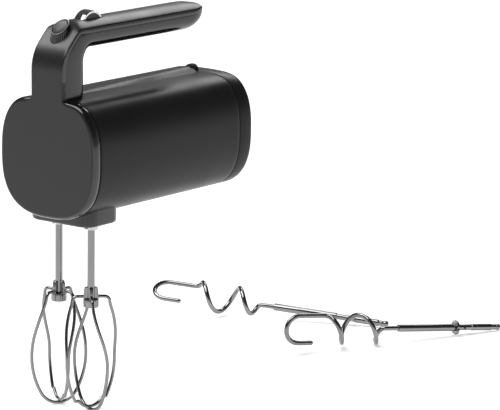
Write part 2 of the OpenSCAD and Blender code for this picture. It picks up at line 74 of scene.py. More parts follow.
HALF_W = (sleeve_high.x - sleeve_low.x) / 2
HALF_H = 50.0          # half the full outline's height, before the top is flattened
FRONT_Y = frame_low.y
AXIS_Z = sleeve_low.z + HALF_H
ROUNDNESS = 2.65       # 2 is an ellipse, 4 is nearly a square
ROOF_CROWN = 0.8       # how far the flat top falls over its half width
ROOF_HALF = 30.0
ROOF_SOFT = 2.2        # softness of the edge between the flat top and the sides
TOP_Z = sleeve_high.z - AXIS_Z
BODY_L = cap_high.y - FRONT_Y
RING_Y = ring_high.y - FRONT_Y
SLEEVE_Y = sleeve_low.y - FRONT_Y
CAP_Y = cap_low.y - FRONT_Y
FIT_GAP = 0.35         # half width of the seams beside the sleeve and the cap
PLATE_IN = 2.2         # width of the bevel around the front plate
CAP_EDGE = 4.5         # rounding of the rear edge
CAP_SCREW_X = 32.0
CAP_SCREW_Z = -14.0
AIR_SLOT_X = 14.0
AIR_SLOT_HALF = 9.0
AIR_SLOT_STEP = 5.0
CHIN_R = 12.0
CHIN_EDGE = 2.6

HANDLE_Z = frame_high.z - AXIS_Z
HANDLE_END = frame_high.y - FRONT_Y - 3.0
STRAP_HALF = 16.0
STRAP_T = 4.6
LIP = 4.0              # depth of the strap's glossy rim
FOOT_R = 3.0           # inner corners between the plate and the strap's foot
FOOT_TOP = 60.0
BEND_R = 30.0
SLANT_Z = 79.7         # middle of the 45 degree stretch between the two bends
TANGENT = BEND_R * math.tan(math.radians(22.5))
LOW_BEND = (BEND_R, SLANT_Z - TANGENT)
HIGH_BEND = (HANDLE_Z - SLANT_Z + TANGENT, HANDLE_Z - BEND_R)
DROOP_Y = 161.0        # where the top starts to fall towards the tip
DROOP_R = 92.0
DROOP_END = 79.5
TIP_R = 6.0
TIP_ANGLE = 40.0       # how far the tip turns below the horizontal
TIP_SHARE = 0.46       # width of the tip as a share of the strap
TAPER_Y = 163.0
CROWN_R = 26.0
CROWN_SOFT = 0.9
CORE_IN = 1.3          # how far the side panels lie inside the strap's rims
CORE_DEPTH = 2.5       # how far the core's top lies under the strap's face
LEG_BACK = 32.0
GRIP_LOW = 82.6
INNER_R = 9.0
CORE_R = 8.5
CORE_TIP_Y = HANDLE_END - 3.6

BUTTON_Z = 101.0       # height of the middle of the slanting top
BUTTON_HOLE_R = 7.55
BUTTON_SLOPE = math.tan(math.radians(38))
BUTTON_SIDES = 288
GROOVE = 0.42          # depth of the flutes of the button and of the wheel
WHEEL_R = 14.0
WHEEL_Y = 50.0
WHEEL_Z = 96.5
WHEEL_START = math.radians(35)   # where the rim's half turn begins
WHEEL_STEPS = 336
WHEEL_TEETH = 84
WHEEL_CLEAR = 0.8      # gap between the wheel and the opening in the strap
TRIM_IN = 0.4          # how far the bright ring lies inside the knurled rim
WHEEL_HUB_R = 5.0
HUB_STEPS = 24

WIRE_SIDES = 20
WIRE_R = 1.35
CAGE_R = 23.0
CAGE_H = 93.0
CAGE_TWIST = math.radians(30)
SHAFT_R = 3.0
PIN_R = 1.1
PIN_UP = 74.5          # height of the cross pin above the hub's foot
HUB_R = 6.25

HOOK_L = 215.0
HOOK_R = 12.0
HOOK_WIRE = 2.2
WIRE_CLEAR = 0.1       # keeps the smooth wire inside the CAD's box
HOOK_REST = 89.0       # the point of the spiral that rests on the table
HOOK_TILT = math.asin((HOOK_R + HOOK_WIRE - SHAFT_R) / (HOOK_L - HOOK_REST))
TURN_START = 38.0
TURN_END = 89.0
TURN_FADE = 9.0
TURN_PITCH = 34.0
SHANK_START = 110.0
JOURNAL = HOOK_L - 30
LUG_AT = JOURNAL - 8
FLANGE_AT = LUG_AT - 9.5
REAR_HOOK = (-151, 324, 25)   # x, y of the crook's end and the heading in degrees
FRONT_HOOK = (30, 279, 64)

VIEW_AZ = math.radians(40.87)
VIEW_EL = math.radians(11.06)
VIEW_ROLL = math.radians(0.79)
VIEW_D = 2.483
LENS = 228.2
AIM_RIGHT = math.radians(3.674)
AIM_DOWN = math.radians(0.87)


def row(x, y, z):
    """A point measured from the centre of the front plate, as a point of the row, in metres."""
    return Vector((x, y + FRONT_Y, z + AXIS_Z)) * MM


def smooth(t):
    t = min(max(t, 0.0), 1.0)
    return t * t * (3 - 2 * t)


# ---------------------------------------------------------------- mesh helpers
def turn_faces_out(mesh, weld):
    made = bmesh.new()
    made.from_mesh(mesh)
    if weld:
        bmesh.ops.remove_doubles(made, verts=made.verts, dist=1e-7)
    bmesh.ops.recalc_face_normals(made, faces=made.faces)
    made.to_mesh(mesh)
    made.free()


def shade(mesh, angle=32):
    mesh.shade_smooth()
    mesh.set_sharp_from_angle(angle=math.radians(angle))


def piece(name, verts, faces, body, slot, mats, replaced=(), angle=32, marks=None):
    """A mesh from points in metres, riding on a body and standing for CAD nodes."""
    mesh = bpy.data.meshes.new(name)
    mesh.from_pydata([tuple(v) for v in verts], [], faces)
    for mat in mats:
        mesh.materials.append(mat)
    if marks is not None:
        mesh.polygons.foreach_set("material_index", marks)
    turn_faces_out(mesh, weld=True)
    shade(mesh, angle)
    obj = bpy.data.objects.new(name, mesh)
    bpy.context.scene.collection.objects.link(obj)
    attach(obj, body)
    if replaced:
        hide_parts(*replaced)
    return obj


def loft(rings):
    """Faces over rings of equal length, closed by a flat face at each end."""
    count = len(rings[0])
    verts = [p for ring in rings for p in ring]
    faces = []
    for i in range(len(rings) - 1):
        for k in range(count):
            a = i * count + k
            b = i * count + (k + 1) % count
            faces.append((a, b, b + count, a + count))
    faces.append(tuple(range(count))[::-1])
    faces.append(tuple(range((len(rings) - 1) * count, len(rings) * count)))
    return verts, faces


def merge(*parts):
    """Several (verts, faces) as one."""
    verts, faces = [], []
    for v, f in parts:
        base = len(verts)
        verts += list(v)
        faces += [tuple(i + base for i in face) for face in f]
    return verts, faces


def sweep(points, radius, round_ends=True):
    """A round wire along points, with its radius, in metres."""
    pts = [Vector(p) for p in points]
    last = len(pts) - 1
    tangents = [(pts[min(i + 1, last)] - pts[max(i - 1, 0)]).normalized() for i in range(last + 1)]
    side = tangents[0].orthogonal().normalized()
    across = []
    for t in tangents:
        side = (side - t * side.dot(t)).normalized()
        across.append((side.copy(), t.cross(side)))
    stations = [(pts[i], i, 1.0) for i in range(last + 1)]
    if round_ends:
        angles = [math.radians(a) for a in (20, 40, 60, 80)]
        start = [(pts[0] - tangents[0] * radius * math.sin(a), 0, math.cos(a)) for a in angles[::-1]]
        end = [(pts[-1] + tangents[-1] * radius * math.sin(a), last, math.cos(a)) for a in angles]
        stations = start + stations + end
    rings = []
    for centre, i, share in stations:
        u, w = across[i]
        rings.append([centre + (u * math.cos(a) + w * math.sin(a)) * radius * share
                      for a in (2 * math.pi * k / WIRE_SIDES for k in range(WIRE_SIDES))])
    return loft(rings)


def lathe(profile, origin, axis, sides=64, radial=None):
    """Profile [(radius, height)] in millimetres, turned about axis through origin, in metres."""
    axis = Vector(axis).normalized()
    u = axis.orthogonal().normalized()
    w = axis.cross(u)
    rings = []
    for r, h in profile:
        ring = []
        for k in range(sides):
            a = 2 * math.pi * k / sides
            rr = r * (radial(a, h) if radial else 1)
            ring.append(Vector(origin) + (axis * h + (u * math.cos(a) + w * math.sin(a)) * rr) * MM)
        rings.append(ring)
    return loft(rings)


def carve(obj, *cutters):
    """Cut solids, each (verts, faces) in metres, out of a piece."""
    made = []
    for verts, faces in cutters:
        mesh = bpy.data.meshes.new("cutter")
        mesh.from_pydata([tuple(v) for v in verts], [], faces)
        turn_faces_out(mesh, weld=False)
        cutter = bpy.data.objects.new("cutter", mesh)
        bpy.context.scene.collection.objects.link(cutter)
        change = obj.modifiers.new("cut", "BOOLEAN")
        change.operation = "DIFFERENCE"
        change.solver = "EXACT"
        change.object = cutter
        made.append(cutter)
    bpy.context.view_layer.update()
    graph = bpy.context.evaluated_depsgraph_get()
    mesh = bpy.data.meshes.new_from_object(obj.evaluated_get(graph))
    obj.modifiers.clear()
    obj.data = mesh
    for cutter in made:
        bpy.data.objects.remove(cutter)
    shade(mesh)


# ---------------------------------------------------------------- materials
def new_material(name):
    mat = bpy.data.materials.new(name)
    mat.use_nodes = True
    nodes, links = mat.node_tree.nodes, mat.node_tree.links
    return mat, nodes, links, nodes["Principled BSDF"]


def add_noise(nodes, links, scale, detail=4.0, stretch=None):
    coords = nodes.new("ShaderNodeTexCoord")
    noise = nodes.new("ShaderNodeTexNoise")
    noise.inputs["Scale"].default_value = scale
    noise.inputs["Detail"].default_value = detail
    source = coords.outputs["Object"]
    if stretch:
        mapping = nodes.new("ShaderNodeMapping")
        mapping.inputs["Scale"].default_value = stretch
        links.new(source, mapping.inputs["Vector"])
        source = mapping.outputs["Vector"]
    links.new(source, noise.inputs["Vector"])
    return noise


def add_range(nodes, links, source, low, high):
    ramp = nodes.new("ShaderNodeMapRange")
    ramp.inputs["From Min"].default_value = 0.3
    ramp.inputs["From Max"].default_value = 0.7
    ramp.inputs["To Min"].default_value = low
    ramp.inputs["To Max"].default_value = high
    links.new(source, ramp.inputs["Value"])
    return ramp.outputs["Result"]


def add_mix(nodes, links, fac, dark, light):
    mix = nodes.new("ShaderNodeMix")
    mix.data_type = "RGBA"
    mix.inputs["A"].default_value = (*dark, 1)
    mix.inputs["B"].default_value = (*light, 1)
    links.new(fac, mix.inputs["Factor"])
    return mix.outputs["Result"]


def add_bump(nodes, links, height, strength, distance, shader):
    bump = nodes.new("ShaderNodeBump")
    bump.inputs["Strength"].default_value = strength
    bump.inputs["Distance"].default_value = distance
    links.new(height, bump.inputs["Height"])
    links.new(bump.outputs["Normal"], shader.inputs["Normal"])


def plastic(name, dark, light, rough, grain=2200, depth=0.00003, strength=0.25, coat=0.0, specular=0.5):
    """Moulded plastic or a sprayed coat: fine grain, slight colour and gloss drift."""
    mat, nodes, links, shader = new_material(name)
    fine = add_noise(nodes, links, grain, 3)
    drift = add_noise(nodes, links, 28, 3)
    links.new(add_mix(nodes, links, drift.outputs["Fac"], dark, light), shader.inputs["Base Color"])
    links.new(add_range(nodes, links, drift.outputs["Fac"], rough[0], rough[1]), shader.inputs["Roughness"])
    add_bump(nodes, links, fine.outputs["Fac"], strength, depth, shader)
    shader.inputs["Coat Weight"].default_value = coat
    shader.inputs["Coat Roughness"].default_value = 0.08
    shader.inputs["Specular IOR Level"].default_value = specular
    return mat


def metal(name, dark, light, rough, stretch, grain=400, depth=0.00002, strength=0.15):
    """Bare metal with drawn or turned lines and slight stains."""
    mat, nodes, links, shader = new_material(name)
    lines = add_noise(nodes, links, grain, 5, stretch)
    drift = add_noise(nodes, links, 45, 3)
    links.new(add_mix(nodes, links, drift.outputs["Fac"], dark, light), shader.inputs["Base Color"])
    links.new(add_range(nodes, links, lines.outputs["Fac"], rough[0], rough[1]), shader.inputs["Roughness"])
    add_bump(nodes, links, lines.outputs["Fac"], strength, depth, shader)
    shader.inputs["Metallic"].default_value = 1.0
    return mat


MATTE = plastic("matte_black_shell", (0.012, 0.012, 0.0124), (0.016, 0.016, 0.0164), (0.30, 0.37),
                specular=0.42)
EDGE = plastic("gloss_edge", (0.006, 0.006, 0.0065), (0.009, 0.009, 0.0095), (0.12, 0.18), 900, 0.00001,
               0.1, 0.5)
GLOSS = plastic("gloss_black_shell", (0.003, 0.003, 0.0033), (0.005, 0.005, 0.0053), (0.12, 0.18), 900,
                0.00001, 0.1, 0.2)
SLEEVE = plastic("satin_dark_sleeve", (0.008, 0.008, 0.0083), (0.012, 0.012, 0.0123), (0.32, 0.39), 3000,
                 0.00002, 0.2, specular=0.2)
CAP = plastic("satin_black_cap", (0.008, 0.008, 0.0083), (0.011, 0.011, 0.0113), (0.32, 0.40), specular=0.2)
RUBBER = plastic("black_rubber", (0.006, 0.006, 0.006), (0.010, 0.010, 0.010), (0.60, 0.75), 1500, 0.00004,
                 0.4)
KNURL = plastic("knurled_grey", (0.060, 0.060, 0.062), (0.080, 0.080, 0.082), (0.38, 0.48), 2400)
BUTTON_TOP = plastic("button_top", (0.006, 0.006, 0.0063), (0.010, 0.010, 0.0103), (0.26, 0.34), 2600)
TRIM = metal("bright_trim", (0.70, 0.70, 0.72), (0.80, 0.80, 0.82), (0.10, 0.18), (1, 1, 1))
STEEL = metal("polished_steel", (0.21, 0.21, 0.213), (0.28, 0.28, 0.284), (0.14, 0.22), (1, 1, 0.05), 900,
              0.00001, 0.12)
HOOK_STEEL = metal("polished_hook_steel", (0.21, 0.21, 0.213), (0.28, 0.28, 0.284), (0.13, 0.22),
                   (0.3, 0.3, 1), 900, 0.00001, 0.12)
GROUND = metal("ground_steel", (0.50, 0.50, 0.51), (0.62, 0.62, 0.63), (0.22, 0.34), (1, 1, 0.1), 700)
CAST = metal("cast_gearbox", (0.42, 0.42, 0.43), (0.52, 0.52, 0.53), (0.45, 0.6), (1, 1, 1), 600, 0.0001, 0.4)
BRONZE = metal("sintered_bronze", (0.46, 0.30, 0.13), (0.56, 0.38, 0.18), (0.35, 0.5), (1, 1, 1), 1500)
COPPER = metal("copper", (0.60, 0.28, 0.14), (0.72, 0.36, 0.20), (0.25, 0.4), (1, 0.1, 1), 900)
CAN = metal("steel_can", (0.48, 0.49, 0.50), (0.58, 0.59, 0.60), (0.28, 0.4), (1, 0.1, 1), 500)
LAMINATED = metal("laminated_steel", (0.22, 0.23, 0.24), (0.32, 0.33, 0.34), (0.35, 0.5), (0.1, 3, 0.1), 900,
                  0.0001, 0.4)
SCREW = metal("zinc_screw", (0.50, 0.50, 0.52), (0.62, 0.62, 0.64), (0.25, 0.38), (1, 1, 1), 900)
SPRING = metal("spring_steel", (0.42, 0.42, 0.43), (0.52, 0.52, 0.53), (0.25, 0.35), (1, 1, 1), 900)
FERRITE = plastic("ferrite", (0.030, 0.030, 0.032), (0.050, 0.050, 0.052), (0.55, 0.7), 900, 0.0001, 0.4)
NYLON = plastic("nylon", (0.62, 0.61, 0.57), (0.70, 0.69, 0.65), (0.35, 0.45), 900)
CARBON = plastic("carbon", (0.015, 0.015, 0.015), (0.03, 0.03, 0.03), (0.5, 0.65), 1500)
BOARD = plastic("circuit_board", (0.010, 0.07, 0.03), (0.016, 0.11, 0.045), (0.3, 0.4), 500)

INNER_MATERIALS = {
    "cap_screws": SCREW, "gearbox_screws": SCREW, "handle_screws": SCREW,
    "gearbox_base": CAST, "gearbox_cover": CAST, "spindle_bushes": BRONZE, "shaft_bearings": BRONZE,
    "motor_can": CAN, "magnets": FERRITE, "end_bell": NYLON, "carbon_brushes": CARBON,
    "control_board": BOARD, "wheel_axle": GROUND, "motor_shaft": GROUND, "worm": GROUND,
    "armature": LAMINATED, "windings": COPPER, "commutator": COPPER, "cooling_fan": NYLON,
    "spindle_left": GROUND, "spindle_right": GROUND, "worm_wheel_left": NYLON,
    "worm_wheel_right": NYLON, "eject_rod": NYLON, "button_spring": SPRING,
}


def finish_inner_nodes():
    for name, mat in INNER_MATERIALS.items():
        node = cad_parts[name]
        node.data.materials.clear()
        node.data.materials.append(mat)


# ---------------------------------------------------------------- body
def outline(inset=0.0, count=288):
    """The body's rounded outline in X and Z, with its flattened top."""
    points = []
    for k in range(count):
        a = 2 * math.pi * k / count
        c, s = math.cos(a), math.sin(a)
        x = (HALF_W - inset) * math.copysign(abs(c) ** (2 / ROUNDNESS), c)
        z = (HALF_H - inset) * math.copysign(abs(s) ** (2 / ROUNDNESS), s)
        roof = TOP_Z - ROOF_CROWN * (x / ROOF_HALF) ** 2 - inset
        gap = (roof - z) / ROOF_SOFT
        if z > 0 and gap < 8:
            z = roof - ROOF_SOFT * math.log1p(math.exp(gap))
        points.append((x, z))
    return points


def body_loft(stations):
    """The body's outline lofted along Y over stations (y, inset)."""
    return loft([[row(x, y, z) for x, z in outline(inset)] for y, inset in stations])


def make_sleeve():
    stations = [(SLEEVE_Y + 0.2, 2.2), (SLEEVE_Y, 0.9), (SLEEVE_Y + 0.1, 0.35), (SLEEVE_Y + 0.5, 0.05),
                (SLEEVE_Y + 1, 0)]
    stations += [(SLEEVE_Y + 4 + i * (CAP_Y - SLEEVE_Y - 8) / 12, 0) for i in range(13)]
    end = CAP_Y - FIT_GAP
    stations += [(end - 0.6, 0), (end - 0.25, 0.1), (end, 0.4), (end, 2.2)]
    piece("sleeve_skin", *body_loft(stations), "housing", "satin_dark_sleeve", [SLEEVE], ["body_sleeve"])


def make_gasket():
    stations = [(RING_Y - 1.5, 2.1), (RING_Y + 0.6, 2.1), (SLEEVE_Y + 1.5, 2.1)]
    piece("gap_gasket", *body_loft(stations), "housing", "black_rubber", [RUBBER], ["front_gasket"])


def make_bevel_ring():
    stations = [(2.0, 4.2), (0.7, 4.0), (0.65, 2.25), (0.8, 1.7), (1.3, 1.15), (2.2, 0.6), (3.6, 0.2),
                (5, 0.02), (RING_Y - 0.4, 0.0), (RING_Y - 0.1, 0.12), (RING_Y, 0.4), (RING_Y, 4.2)]
    piece("bevel_skin", *body_loft(stations), "housing", "gloss_black_shell", [EDGE], ["bevel_ring"])


def air_slot(mid_x, mid_z):
    """A slot with round ends, to be cut into the rear face."""
    r = 0.95
    ring = []
    for sx, sz, start in ((1, 1, 0), (-1, 1, 90), (-1, -1, 180), (1, -1, 270)):
        cx = mid_x + sx * AIR_SLOT_HALF - sx * r
        cz = mid_z + sz - sz * r
        for i in range(7):
            a = math.radians(start + i * 15)
            ring.append((cx + r * math.cos(a), cz + r * math.sin(a)))
    return loft([[row(x, y, z) for x, z in ring] for y in (BODY_L - 4, BODY_L + 3)])


def make_rear_cap():
    start = CAP_Y + FIT_GAP
    stations = [(start, 2.2), (start, 0.4), (CAP_Y + 0.6, 0.1), (CAP_Y + 1, 0), (BODY_L - CAP_EDGE, 0)]
    for i in range(1, 11):
        a = math.radians(i * 9)
        stations.append((BODY_L - CAP_EDGE + CAP_EDGE * math.sin(a), CAP_EDGE * (1 - math.cos(a))))
    stations += [(BODY_L, 16), (BODY_L, 30), (BODY_L, 42)]
    cap = piece("rear_cap_skin", *body_loft(stations), "housing", "satin_black_cap", [CAP], ["rear_cap"])
    cutters = [air_slot(side * AIR_SLOT_X, r * AIR_SLOT_STEP) for r in range(-3, 4) for side in (-1, 1)]
    for side in (-1, 1):
        foot = row(side * CAP_SCREW_X, BODY_L - 4, CAP_SCREW_Z)
        cutters.append(lathe([(2.0, 0), (2.0, 6)], foot, (0, 1, 0), 32))
    carve(cap, *cutters)


def make_chin():
    """The cover under the gearbox: a block with round corners and a rounded lower edge."""
    half_x = (chin_high.x - chin_low.x) / 2
    half_y = (chin_high.y - chin_low.y) / 2
    mid_y = (chin_high.y + chin_low.y) / 2 - FRONT_Y
    low, high = chin_low.z - AXIS_Z, chin_high.z - AXIS_Z
    stations = [(6, low), (CHIN_EDGE, low)]
    for a in (20, 40, 60, 75, 90):
        a = math.radians(a)
        stations.append((CHIN_EDGE * (1 - math.sin(a)), low + CHIN_EDGE * (1 - math.cos(a))))
    stations += [(0, low + 5), (0, high)]
    rings = []
    for inset, z in stations:
        r = CHIN_R - inset
        ring = []
        for sx, sy, start in ((1, 1, 0), (-1, 1, 90), (-1, -1, 180), (1, -1, 270)):
            for i in range(13):
                a = math.radians(start + i * 7.5)
                x = sx * (half_x - CHIN_R) + r * math.cos(a)
                y = mid_y + sy * (half_y - CHIN_R) + r * math.sin(a)
                ring.append(row(x, y, z))
        rings.append(ring)
    piece("chin_skin", *loft(rings), "housing", "gloss_black_shell", [GLOSS], ["chin_cover"])


# ---------------------------------------------------------------- handle
def plan_half(y):
    """Half width of the handle's outline from above, which narrows towards the rear tip."""
    share = min(1.0, max(0.0, (y - TAPER_Y) / (HANDLE_END - TAPER_Y)))
    return STRAP_HALF * (TIP_SHARE + (1 - TIP_SHARE) * math.sqrt(1 - share ** 2.4))


def crown_drop(x, z):
    """How far the crowned top lies below a flat one at x, for a surface at height z."""
    limit = HANDLE_Z - CROWN_R + math.sqrt(CROWN_R ** 2 - x ** 2)
    over = (z - limit) / CROWN_SOFT
    if over > 20:
        return z - limit
    return CROWN_SOFT * math.log1p(math.exp(over)) if over > -20 else 0.0


def around(centre, radius, angle):
    """The point (y, z) at an angle, in degrees, on a circle."""
    a = math.radians(angle)
    return centre[0] + radius * math.cos(a), centre[1] + radius * math.sin(a)


def strap_path():
    """Stations (y, z, outward angle, share of the tip's turn) down the strap's outer line."""
    steps = 14
    stations = [(0.0, z, 180.0, 0.0) for z in (60, 62, 64, 66)]
    for centre, start in ((LOW_BEND, 180), (HIGH_BEND, 135)):
        for i in range(steps + 1):
            a = start - i * 45 / steps
            stations.append((*around(centre, BEND_R, a), a, 0.0))
    stations += [(float(y), HANDLE_Z, 90.0, 0.0) for y in range(42, int(DROOP_Y), 5)]
    for i in range(steps + 1):
        a = 90 - i * (90 - DROOP_END) / steps
        stations.append((*around((DROOP_Y, HANDLE_Z - DROOP_R), DROOP_R, a), a, 0.0))
    y, z, a, _ = stations[-1]
    centre = around((y, z), -TIP_R, a)
    for i in range(1, steps + 1):
        b = a - i * (a + TIP_ANGLE) / steps
        stations.append((*around(centre, TIP_R, b), b, i / steps))
    y, z, a, _ = stations[-1]
    a_rad = math.radians(a)
    stations += [(y + i * 1.6 * math.sin(a_rad), z - i * 1.6 * math.cos(a_rad), a, 1.0) for i in range(1, 6)]
    return stations


def strap_section(station):
    """Ring of points across the strap; the outer face is matte and the rims are glossy."""
    y, z, angle, turn = station
    out = Vector((0, math.cos(math.radians(angle)), math.sin(math.radians(angle))))
    half = plan_half(y if turn == 0 else HANDLE_END)
    lip = LIP * (1 - 0.6 * turn)
    thick = STRAP_T * (1 - 0.6 * turn)
    ring = [(u / 10 * (half - 0.6), 0.0) for u in range(-10, 11)]
    rim = [(half - 0.2, 0.18), (half, 0.6), (half, lip), (half - 0.9, lip + 0.15), (half - 2.2, thick)]
    ring += rim + [(0, thick)] + [(-x, depth) for x, depth in rim[::-1]]
    base = Vector((0, y, z))
    points = []
    for x, depth in ring:
        p = base + Vector((x, 0, 0)) - out * depth
        points.append(row(p.x, p.y, p.z - crown_drop(x, z)))
    return points


def make_strap():
    """The strap, with the openings for the button and the wheel cut out."""
    rings = [strap_section(s) for s in strap_path()]
    verts, faces = loft(rings)
    count = len(rings[0])
    # of each ring's faces, 20 to 24 and those from 26 on are the glossy rims
    marks = [int(20 <= i % count <= 24 or i % count >= 26) for i in range(len(faces) - 2)] + [0, 0]
    strap = piece("handle_strap", verts, faces, "housing", "matte_black_shell", [MATTE, EDGE],
                  ["front_frame"], marks=marks)
    button_y = (button_low.y + button_high.y) / 2 - FRONT_Y
    hole = lathe([(BUTTON_HOLE_R, 0), (BUTTON_HOLE_R, 40)], row(0, button_y, 72), (0, 0, 1), 64)
    x0 = min(wheel_low.x, trim_low.x) - 0.5
    x1 = max(wheel_high.x, trim_high.x) + 0.5
    opening = WHEEL_R + WHEEL_CLEAR
    window = lathe([(opening, 0), (opening, x1 - x0)], row(x0, WHEEL_Y, WHEEL_Z), (1, 0, 0), 144)
    carve(strap, hole, window)


def plate_outline():
    """Outline of the plate with the strap's foot on it, with small inner corners."""
    edge = [p for p in outline(PLATE_IN, 360) if abs(p[0]) >= STRAP_HALF + FOOT_R or p[1] <= 0]
    shoulder = TOP_Z - PLATE_IN - 0.3
    foot = []
    for side, start in ((1, 270), (-1, 0)):
        if side < 0:
            foot += [(STRAP_HALF, FOOT_TOP), (-STRAP_HALF, FOOT_TOP)]
        for i in range(7):
            a = math.radians(start - i * 15)
            x = side * STRAP_HALF + side * FOOT_R + FOOT_R * math.cos(a)
            foot.append((x, shoulder + FOOT_R + FOOT_R * math.sin(a)))
    cut = next(i for i in range(len(edge)) if edge[i][0] < 0 and edge[i][1] > 0)
    return edge[:cut] + foot + edge[cut:]


def shrink(points, amount):
    """An outline moved inwards, except for the strap's upper end, which only narrows."""
    out = []
    for i, point in enumerate(points):
        here = Vector(point)
        d = Vector(points[(i + 1) % len(points)]) - Vector(points[i - 1])
        normal = Vector((d.y, -d.x)).normalized() if d.length > 1e-6 else Vector((0, 0))
        moved = here - normal * amount
        if here.y > FOOT_TOP - 1:
            moved = Vector((here.x - math.copysign(amount, here.x), here.y))
        out.append(moved)
    return out


def make_front_plate():
    """Flat plate and the foot of the strap, as one outline with a fine rounded edge."""
    points = plate_outline()
    stations = ((0.0, 1.6), (0.0, 0.7), (0.22, 0.25), (0.75, 0.0), (4.2, 0.0))
    rings = [[row(p.x, y, p.y) for p in shrink(points, amount)] for y, amount in stations]
    piece("front_plate", *loft(rings), "housing", "matte_black_shell", [MATTE])


def core_sections():
    """Sections of the handle's inner part: its outer and inner point, and the height that sets its crown."""
    sections = [((CORE_DEPTH, z), (LEG_BACK, z), 0.0) for z in (44, 50, 56, 62, 67)]
    inner = (LEG_BACK + INNER_R, GRIP_LOW - INNER_R)
    for i in range(25):
        a = math.radians(180 - 90 * i / 24)
        centre = LOW_BEND if i < 12 else HIGH_BEND
        depth = BEND_R - CORE_DEPTH
        top = (centre[0] + depth * math.cos(a), centre[1] + depth * math.sin(a))
        low = (inner[0] + INNER_R * math.cos(a), inner[1] + INNER_R * math.sin(a))
        sections.append((top, low, centre[1] + BEND_R * math.sin(a)))
    sections += [((y, HANDLE_Z - CORE_DEPTH), (y, GRIP_LOW), HANDLE_Z) for y in range(46, 160, 7)]
    for i in range(1, 13):
        y = 160 + (CORE_TIP_Y - 160) * i / 12
        a = math.acos(min(1, max(0, y - DROOP_Y) / DROOP_R))
        top = HANDLE_Z - DROOP_R + (DROOP_R - CORE_DEPTH) * math.sin(a)
        share = max(0.0, (y - 154) / (CORE_TIP_Y - 154))
        low = GRIP_LOW + (top - 2.5 - GRIP_LOW) * (1 - math.sqrt(max(0.0, 1 - share ** 2.6)))
        sections.append(((y, top), (y, low), top + CORE_DEPTH))
    return sections


def core_ring(section):
    """Ring of points around one section of the handle's inner part."""
    (outer_y, outer_z), (inner_y, inner_z), crown_z = section
    half = plan_half(outer_y) - CORE_IN
    outer, inner = Vector((0, outer_y, outer_z)), Vector((0, inner_y, inner_z))
    inward = (inner - outer).normalized()
    length = (inner - outer).length
    start = min(crown_drop(half, crown_z) + 1.2, length * 0.6)
    r = min(CORE_R, (length - start) * 0.6, half * 0.6)
    shoulder = start + min(1, 0.2 * length)
    ring = [(-half + 2, start * 0.6), (half - 2, start * 0.6), (half - 0.3, start), (half, shoulder)]
    for side, first in ((1, 0), (-1, 90)):
        for k in range(13):
            a = math.radians(first + k * 7.5)
            ring.append((side * (half - r) + r * math.cos(a), length - r + r * math.sin(a)))
    ring += [(-half, shoulder), (-half + 0.3, start)]
    return [row(*(outer + Vector((x, 0, 0)) + inward * depth)) for x, depth in ring]


def make_core():
    piece("handle_core", *loft([core_ring(s) for s in core_sections()]), "housing", "gloss_black_shell",
          [GLOSS], ["handle_half_left", "handle_half_right"], angle=50)


# ---------------------------------------------------------------- cord spine and gland
def make_spine():
    half = (spine_high.x - spine_low.x) / 2
    y0 = spine_low.y - FRONT_Y
    y1 = spine_high.y - FRONT_Y
    top = spine_high.z - AXIS_Z
    low = TOP_Z - 1.4
    rings = []
    for i in range(25):
        share = i / 24
        height = low + (top - low) * (0.3 + 0.55 * share)
        ring = [(half * k / 12, low + (height - low) * math.cos(math.pi * k / 26) ** 1.5)
                for k in range(12, -13, -1)]
        ring += [(-half, low - 0.5), (half, low - 0.5)]
        rings.append([row(x, y0 + (y1 - y0) * share, z) for x, z in ring])
    piece("spine_skin", *loft(rings), "housing", "gloss_black_shell", [SLEEVE], ["cord_spine"])


def make_gland():
    length = gland_high.y - gland_low.y
    z = gland_high.z - AXIS_Z - 5.2
    profile = [(4.2, 0), (5.0, 0.3), (5.1, 1), (5.1, 2), (4.6, 2.3), (4.6, 2.8), (5.1, 3.1), (5.1, 4.2),
               (4.6, 4.5), (4.6, 5.0), (5.0, 5.3), (4.7, length - 0.6), (4.2, length), (2.4, length),
               (2.2, length - 3)]
    gland = lathe(profile, row(0, gland_low.y - FRONT_Y, z), (0, 1, 0), 48)
    piece("gland_skin", *gland, "housing", "black_rubber", [RUBBER], ["cord_gland"])


# ---------------------------------------------------------------- controls
def make_button():
    """A fluted side under a slanting top: a flat foot, then rings along the slope."""
    mid_y = (button_low.y + button_high.y) / 2 - FRONT_Y
    radius = (button_high.x - button_low.x) / 2
    foot = button_low.z - AXIS_Z

    def ring(r, lift, flute=0.0, top=True):
        points = []
        for k in range(BUTTON_SIDES):
            a = 2 * math.pi * k / BUTTON_SIDES
            groove = GROOVE * flute * (0.5 + 0.5 * math.cos(24 * a)) ** 3
            x, y = (r - groove) * math.cos(a), (r - groove) * math.sin(a)
            z = BUTTON_Z + BUTTON_SLOPE * y + lift if top else foot + lift
            points.append(row(x, mid_y + y, z))
        return points
    rings = [ring(radius, 0, 1, False), ring(radius, 4, 1, False)]
    rings += [ring(radius, -2.0, 1), ring(radius, -1.1, 0.3), ring(radius, -0.8)]
    rings += [ring(radius - narrow, lift) for narrow, lift in (
        (0.1, -0.3), (0.35, -0.02), (0.7, 0), (0.95, -0.1), (1.1, -0.45), (2.5, -0.7), (5, -0.95))]
    verts, faces = loft(rings)
    marks = []
    for i in range(len(rings) - 1):
        marks += [0 if i < 4 else (1 if i < 8 else 2)] * BUTTON_SIDES
    piece("button_skin", verts, faces, "ejector", "gloss_black_shell", [GLOSS, EDGE, BUTTON_TOP],
          ["eject_button"], marks=marks + [0, 2], angle=40)


